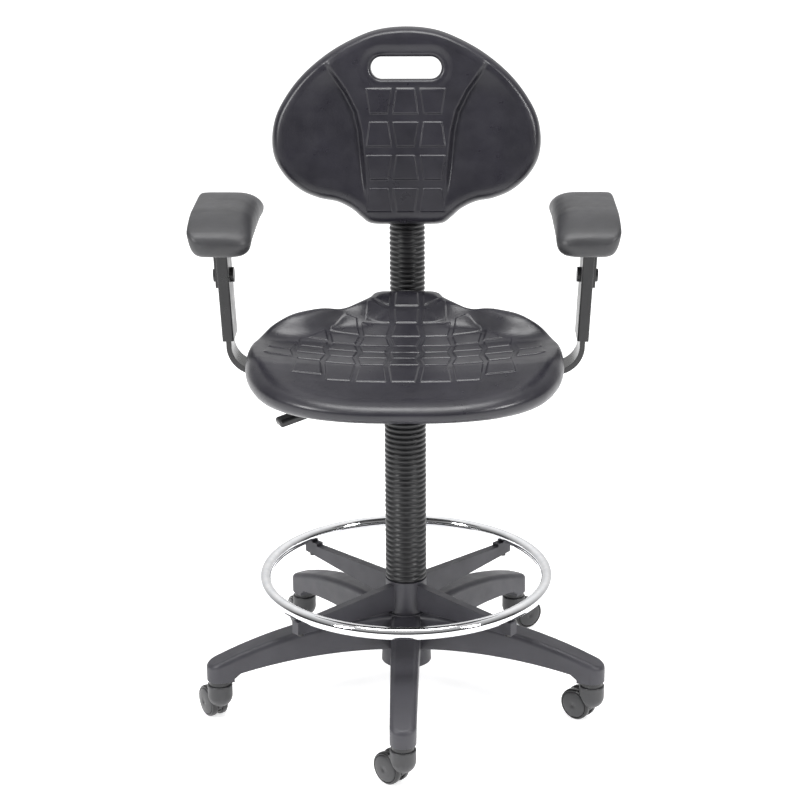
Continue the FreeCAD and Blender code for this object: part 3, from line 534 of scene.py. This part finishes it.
def make_seat(material):
    half = 210
    count = 8 * half
    outline = closed_curve(both_sides(SEAT_OUTLINE), count)
    turns = np.arctan2(outline[:, 1], outline[:, 0])
    outline = np.roll(outline, -int(np.argmin(abs(turns + math.pi / 4))), axis=0)
    normal = outward(outline)
    front = smooth(-40, -190, outline[:, 1])
    tongue = smooth(110, 170, outline[:, 1])
    side = smooth(190, 232, abs(outline[:, 0])) * smooth(-70, 10, outline[:, 1])
    top_inset = 19 + 12 * front - 7 * tongue - 8 * side
    bottom_inset = 24 + 6 * front - 14 * tongue
    inner = outline - normal * top_inset[:, None]
    ring, turn, faces, border = disc_grid(half)
    where = turn * count
    low = where.astype(int) % count
    share = (where - np.floor(where))[:, None]
    rim = inner[low] * (1 - share) + inner[(low + 1) % count] * share
    plan = SEAT_MIDDLE + (rim - SEAT_MIDDLE) * ring[:, None]
    top = np.column_stack([plan, even_seat_surface(plan[:, 0], plan[:, 1], inner)])
    top_edge = top[border, 2]
    floor = 523.5 + 41 * smooth(110, 205, outline[:, 1]) + 5 * (1 - front) * (1 - tongue)
    waist = (floor + top_edge) / 2
    rows = []
    steps = 26
    for step in range(1, steps + 1):
        angle = math.pi / 2 - math.pi * step / steps
        swell = abs(math.cos(angle)) ** 0.9
        if angle >= 0:
            inset = top_inset * (1 - swell)
            level = waist + (top_edge - waist) * math.sin(angle)
        else:
            inset = bottom_inset * (1 - swell)
            level = waist + (waist - floor) * math.sin(angle)
        rows.append(np.column_stack([outline - normal * inset[:, None], level]))
    board_low, board_high = (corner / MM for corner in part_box("seat_board"))
    under = outline - normal * bottom_inset[:, None]
    angles = np.arctan2(under[:, 1] - SEAT_MIDDLE[1], under[:, 0])
    reach = np.array([board_high.x + 0.4, (board_high.y - board_low.y) / 2 + 0.4])
    centre_y = (board_high.y + board_low.y) / 2
    squareness = 14
    shape = (abs(np.cos(angles) / reach[0]) ** squareness
             + abs(np.sin(angles) / reach[1]) ** squareness) ** (-1 / squareness)
    pocket = np.column_stack([np.cos(angles) * shape, centre_y + np.sin(angles) * shape])
    for share in (0.25, 0.5, 0.75, 1.0):
        flat = under * (1 - share) + pocket * share
        level = floor * (1 - share) + board_low.z * share
        rows.append(np.column_stack([flat, level]))
    rows.append(np.column_stack([pocket, np.full(count, board_high.z)]))
    shell = np.vstack(rows)
    points = np.vstack([top, shell])
    first = len(top)
    for column in range(count):
        after = (column + 1) % count
        faces.append((border[column], first + column, first + after, border[after]))
    faces += ring_faces(len(rows), count, first)
    faces = [tuple(int(v) for v in face) for face in faces]
    upper_rim_rows = 10
    near = np.zeros(len(points))
    near[:first] = np.maximum(smooth(0.72, 0.95, ring), 0.4)
    near[first:first + upper_rim_rows * count] = 1
    points = soften(points, faces, near, 18)
    lift = seat_blocks(points[:first, 0], points[:first, 1])
    points[:first, 2] += lift * smooth(1.0, 0.93, ring)
    last = len(points) - count
    faces.append(tuple(range(last, len(points))))
    piece = add_piece("seat_cushion", points, faces, material, flat={len(faces) - 1})
    finish_pad(piece, "seat", "seat_pad")


def finish_pad(piece, body, node):
    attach(piece, body)
    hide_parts(node)


# ---------------------------------------------------------------- backrest

BACK_LEAN = 8
BACK_FOOT_Y = 203
BACK_OUTLINE = [
    (0, 0), (57, 1), (71, 11), (85, 23), (107, 34), (136, 40), (164, 52), (189, 74), (205, 102),
    (209, 132), (203, 166), (187, 197), (161, 230), (123, 262), (85, 284), (46, 299), (0, 304),
]
SLOT_LEVEL = 241
SLOT_REACH = 54.5
SLOT_RISE = 17


def back_crease(v):
    """Half-width of the raised spine at each height."""
    return np.interp(v, [0, 52, 114, 145, 175, 206, 247, 304],
                     [52, 61, 66, 69, 76, 92, 120, 158])


def back_surface(x, v, rim_gap):
    """Depth of the front face before its blocks: a raised spine between two scooped wings."""
    spine = 40 + 3.5 * np.exp(-((v - 95) / 75) ** 2)
    crease = back_crease(v)
    beyond = abs(x) - crease
    deep = 13 * smooth(25, 110, v) * smooth(268, 200, v)
    across = np.clip(beyond / np.maximum(beyond + rim_gap, 30), 0, 1)
    scoop = deep * smooth(-2, 7, beyond) * (1 - across) ** 1.2
    roll = 3.0 * smooth(20, 0, rim_gap)
    return spine - scoop - roll - 0.00011 * x ** 2 * smooth(0, 140, abs(x))


def back_blocks(x, v):
    rise = np.zeros_like(x)
    rows = [(172, 210), (122, 159), (71, 108), (21, 57)]
    wide_top = [(1, 0, 1), (0, 1, 0), (1, 0, 1), (0, 1, 0)]
    for (low, high), shapes in zip(rows, wide_top):
        for centre, top_wide in zip((-42, -1, 41), shapes):
            bottom, top = (13.5, 19.5) if top_wide else (19.5, 14)
            corners = [(centre - bottom, low), (centre + bottom, low), (centre + top, high),
                       (centre - top, high)]
            rise = np.maximum(rise, block_height(x, v, corners, 1.5, 2.2))
    return rise


def slot_ring(turns, reach, rise):
    """Points of a long round-ended slot, at the same share of turn as the outline's points."""
    straight = reach - rise
    dense = np.linspace(0, 2 * math.pi, 2881)
    x = rise * np.cos(dense) + straight * np.sign(np.round(np.cos(dense), 6))
    y = rise * np.sin(dense)
    ring = np.column_stack([x, y])
    length = np.concatenate([[0], np.cumsum(np.linalg.norm(np.diff(ring, axis=0), axis=1))])
    wanted = turns * length[-1]
    return np.column_stack([np.interp(wanted, length, ring[:, axis]) for axis in (0, 1)])


def make_backrest(material):
    count = 960
    outline = closed_curve(both_sides(BACK_OUTLINE), count)
    start = int(np.argmin(np.where(outline[:, 0] > 0, abs(outline[:, 1] - SLOT_LEVEL), 1e9)))
    outline = np.roll(outline, -start, axis=0)
    normal = outward(outline)
    angle = np.arctan2(outline[:, 1] - SLOT_LEVEL, outline[:, 0] * 0.55) % (2 * math.pi)
    angle[0] = 0
    share_turn = angle / (2 * math.pi)
    even = np.arange(count) / count
    hole = slot_ring(0.5 * share_turn + 0.5 * even, SLOT_REACH, SLOT_RISE)
    hole_normal = outward(hole)
    slot = hole + np.array([0, SLOT_LEVEL])
    front_inset, back_inset, lip = 10.0, 10.0, 6.0
    start_ring = slot + hole_normal * lip
    end_ring = outline - normal * front_inset
    rows = []
    radial = 190
    for step in range(radial + 1):
        share = step / radial
        plan = start_ring * (1 - share) + end_ring * share
        rows.append(np.column_stack([plan, np.zeros(count)]))
    front_rows = len(rows)
    flat = np.vstack(rows)
    gap = nearest_distance(flat[:, :2], outline)
    depth = back_surface(flat[:, 0], flat[:, 1], gap)
    depth -= 2.2 * smooth(14, 0, nearest_distance(flat[:, :2], slot) - lip)
    flat[:, 2] = depth
    rows = list(flat.reshape(front_rows, count, 3))
    edge_depth = rows[-1][:, 2]
    waist = 17.0
    steps = 20
    for step in range(1, steps + 1):
        turn = math.pi / 2 - math.pi * step / steps
        swell = math.cos(turn)
        if turn >= 0:
            plan = outline - normal * front_inset * (1 - swell)
            level = waist + (edge_depth - waist) * math.sin(turn)
        else:
            plan = outline - normal * back_inset * (1 - swell)
            level = np.full(count, waist + (waist - 0.5) * math.sin(turn))
        rows.append(np.column_stack([plan, level]))
    back_ring = outline - normal * back_inset
    back_steps = 26
    for step in range(1, back_steps + 1):
        share = step / back_steps
        plan = back_ring * (1 - share) + (slot + hole_normal * 5) * share
        rows.append(np.column_stack([plan, np.full(count, 0.5)]))
    for step in range(1, 9):
        turn = math.pi / 2 * step / 8
        plan = slot + hole_normal * 5 * (1 - math.sin(turn))
        rows.append(np.column_stack([plan, np.full(count, 0.5 + 5 * (1 - math.cos(turn)))]))
    mouth = rows[0][:, 2]
    for step in range(1, 12):
        share = step / 12
        rows.append(np.column_stack([slot, 5.5 * (1 - share) + (mouth - lip) * share]))
    for step in range(0, 9):
        turn = math.pi / 2 * step / 9
        plan = slot + hole_normal * lip * (1 - math.cos(turn))
        rows.append(np.column_stack([plan, mouth - lip * (1 - math.sin(turn))]))
    points = np.vstack(rows)
    faces = ring_faces(len(rows), count, close_rows=True)
    weight = np.full(len(points), 0.35)
    weight[(front_rows - 16) * count:(front_rows + 8) * count] = 1
    points = soften(points, faces, weight, 16)
    front = slice(0, front_rows * count)
    points[front, 2] += back_blocks(points[front, 0], points[front, 1])
    place = back_frame()
    world = (place @ np.column_stack([points, np.ones(len(points))]).T).T[:, :3]
    piece = add_piece("backrest_cushion", world, faces, material)
    finish_pad(piece, "back", "backrest")


def nearest_distance(points, ring):
    """Distance from each point to the nearest point of a ring, worked out in batches."""
    found = np.empty(len(points))
    thin = ring[::2]
    batch = 4000
    for start in range(0, len(points), batch):
        part = points[start:start + batch]
        gaps = ((part[:, None, :] - thin[None, :, :]) ** 2).sum(2)
        found[start:start + batch] = np.sqrt(gaps.min(1))
    return found


def back_frame():
    """Local x, v (up the tilted back) and depth to world millimetres."""
    lean = math.radians(BACK_LEAN)
    base_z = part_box("backrest")[0].z / MM
    return np.array([
        [1, 0, 0, 0],
        [0, math.sin(lean), -math.cos(lean), BACK_FOOT_Y],
        [0, math.cos(lean), math.sin(lean), base_z],
    ])


# ---------------------------------------------------------------- arm pads

PAD_HALF_WIDTH = 46.5
PAD_SECTION = [
    (6, 0), (-12, 0), (-24, 1), (-35, 4.5), (-43, 13), (-46.5, 25), (-46.5, 36), (-42, 46),
    (-33, 53), (-20, 57), (0, 58), (20, 58), (36, 57.8), (44, 56.5), (46.8, 52), (46, 40),
    (43.5, 25), (40, 13), (35, 5), (27, 1),
]
PAD_TOP = (
    [0, 1, 3, 6, 12, 22, 36, 55, 76, 174, 195, 216, 235, 248, 255, 259, 261],
    [24, 27, 31, 34.5, 39, 44.5, 50.5, 55.5, 58, 58, 56, 51.5, 44.5, 38, 32, 24, 19],
)


def make_arm_pad(side, name, material):
    """A lofted pad: one upper edge rounder than the other, a falling nose and tail, and a recess
    underneath for its bracket's flange. PAD_TOP is its height along its length, from the nose.
    """
    low, high = (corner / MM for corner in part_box(f"arm_pad_{name}"))
    flange_low, flange_high = (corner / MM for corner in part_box(f"arm_bracket_{name}"))
    centre = (low.x + high.x) / 2
    front, back = low.y, high.y
    section = closed_curve(PAD_SECTION, 200)
    tall = section[:, 1].max()
    floor_points = (abs(section[:, 0]) < 36) & (section[:, 1] < 7)
    nose, tail = 22.0, 16.0
    nose_lift, tail_lift = 19, 14
    stations = list(front + nose * (1 - np.cos(np.linspace(0, math.pi / 2, 22))))
    stations += list(np.linspace(front + nose, back - tail, 64))[1:-1]
    stations += list(back - tail * (1 - np.sin(np.linspace(0, math.pi / 2, 16))))
    recess = (flange_low.y - 1, flange_high.y + 1)
    stations = sorted(stations + [recess[0] - 0.2, recess[0], recess[1], recess[1] + 0.2])
    rows, loose = [], []
    for y in stations:
        ahead = min(max((front + nose - y) / nose, 0), 1)
        behind = min(max((y - back + tail) / tail, 0), 1)
        inset = (nose * (1 - math.sqrt(1 - ahead * ahead))
                 + tail * (1 - math.sqrt(1 - behind * behind)))
        top = np.interp(y - front, *PAD_TOP)
        bottom = (nose_lift * (1 - math.sqrt(1 - ahead * ahead))
                  + tail_lift * (1 - math.sqrt(1 - behind * behind)))
        x = section[:, 0] * (1 - inset / PAD_HALF_WIDTH)
        z = bottom + section[:, 1] / tall * (top - bottom)
        if recess[0] <= y <= recess[1]:
            z = np.where(floor_points, flange_high.z - low.z + 0.3, z)
        rows.append(np.column_stack([centre + side * x, np.full(len(x), y), low.z + z]))
        held = (z < 9) & (recess[0] - 3 < y < recess[1] + 3)
        loose.append(np.where(held, 0.0, 0.6))
    points = np.vstack(rows)
    count = len(section)
    faces = ring_faces(len(rows), count)
    faces.append(tuple(range(count)))
    faces.append(tuple(range(len(points) - count, len(points))))
    points = soften(points, faces, np.concatenate(loose), 10)
    piece = add_piece(f"arm_cushion_{name}", points, faces, material)
    finish_pad(piece, f"arm_{name}", f"arm_pad_{name}")


# ---------------------------------------------------------------- castor wheels

WHEEL_OUTER_FACE = 16.8
WHEEL_PARTS = {
    "disc": [(0.01, -1.6), (20.4, -11.6), (20.4, -3.4), (19.9, -2.8), (18.6, -2.2), (14, -1.1),
             (8, -0.4), (0.01, -0.1)],
    "tread": [(20.6, -12.4), (23.4, -12.9), (24.6, -12.2), (25, -10.8), (25, -6.4), (24.6, -4.9),
              (23.6, -3.8), (22.2, -3.3), (21, -3.6), (20.6, -4.4)],
}


def make_wheel(name, materials):
    """A domed disc and its glossy tread, turned about the wheel's own axle. WHEEL_PARTS gives
    their radii and how far each point is from the wheel's outer face."""
    node = f"caster_{name}"
    joint = next(j for j in frame["record"]["behaviour"]["joints"] if j["name"] == f"{name}_spin")
    pivot = Vector(joint["pos_m"]) / MM
    low, high = (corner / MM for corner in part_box(node))
    outward_axis = ((low + high) / 2 - pivot).normalized()
    outward_axis.z = 0
    outward_axis.normalize()
    aside = Vector((0, 0, 1)).cross(outward_axis)
    for kind, slot in (("disc", "castor_nylon"), ("tread", "castor_tread")):
        profile = [(radius, WHEEL_OUTER_FACE + along) for radius, along in WHEEL_PARTS[kind]]
        rows = []
        for angle in np.linspace(0, 2 * math.pi, 96, endpoint=False):
            spoke = aside * math.cos(angle) + Vector((0, 0, 1)) * math.sin(angle)
            rows.append([tuple(pivot + outward_axis * along + spoke * radius)
                         for radius, along in profile])
        points = np.array(rows).reshape(-1, 3)
        faces = ring_faces(len(rows), len(profile), close_rows=True)
        piece = add_piece(f"{name}_{kind}", points, faces, materials[slot])
        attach(piece, name)
        if kind == "tread":
            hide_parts(node)


# ---------------------------------------------------------------- bellows

def make_bellows(name, node, ribs, material):
    """A ribbed rubber sleeve with round crowns and tight valleys."""
    low, high = (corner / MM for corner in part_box(node))
    centre_x = (low.x + high.x) / 2
    centre_y = (low.y + high.y) / 2
    crown = (high.x - low.x) / 2
    valley = crown - 3.4
    bore = crown - 5.0
    pitch = (high.z - low.z) / ribs
    per_rib, around = 12, 120
    profile = [(bore, low.z), (valley, low.z)]
    for rib in range(ribs):
        for step in range(per_rib):
            share = (step + 0.5) / per_rib
            bulge = math.sin(math.pi * share) ** 0.55
            wander = 0.12 * math.sin(rib * 2.3) + 0.08 * math.sin(rib * 5.1)
            radius = min(crown, valley + (crown - valley) * bulge + wander * bulge - 0.15 * bulge)
            profile.append((radius, low.z + (rib + share) * pitch))
    profile += [(valley, high.z), (bore, high.z)]
    rows = []
    spin = np.linspace(0, 2 * math.pi, around, endpoint=False)
    for radius, level in profile:
        rows.append(np.column_stack([centre_x + radius * np.cos(spin),
                                     centre_y + radius * np.sin(spin), np.full(around, level)]))
    points = np.vstack(rows)
    faces = ring_faces(len(rows), around, close_rows=True)
    piece = add_piece(name, points, faces, material)
    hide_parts(node)
    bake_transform(piece)


# ---------------------------------------------------------------- the scene

make_camera()
make_floor()
make_light()
materials = make_materials()
for part in frame["record"]["subparts"]:
    slots = frame["nodes"][part["node"]].data.materials
    slots.clear()
    slots.append(materials[part["material_slot"]])
make_seat(materials["skin_foam"])
make_backrest(materials["skin_foam"])
make_arm_pad(-1, "left", materials["arm_foam"])
make_arm_pad(1, "right", materials["arm_foam"])
for number in range(1, 6):
    make_wheel(f"wheel_left_{number}", materials)
    make_wheel(f"wheel_right_{number}", materials)
make_bellows("lower_gaiter", "lower_bellows", 36,
             materials["bellows_rubber"])
make_bellows("upper_gaiter", "upper_bellows", 22,
             materials["bellows_rubber"])
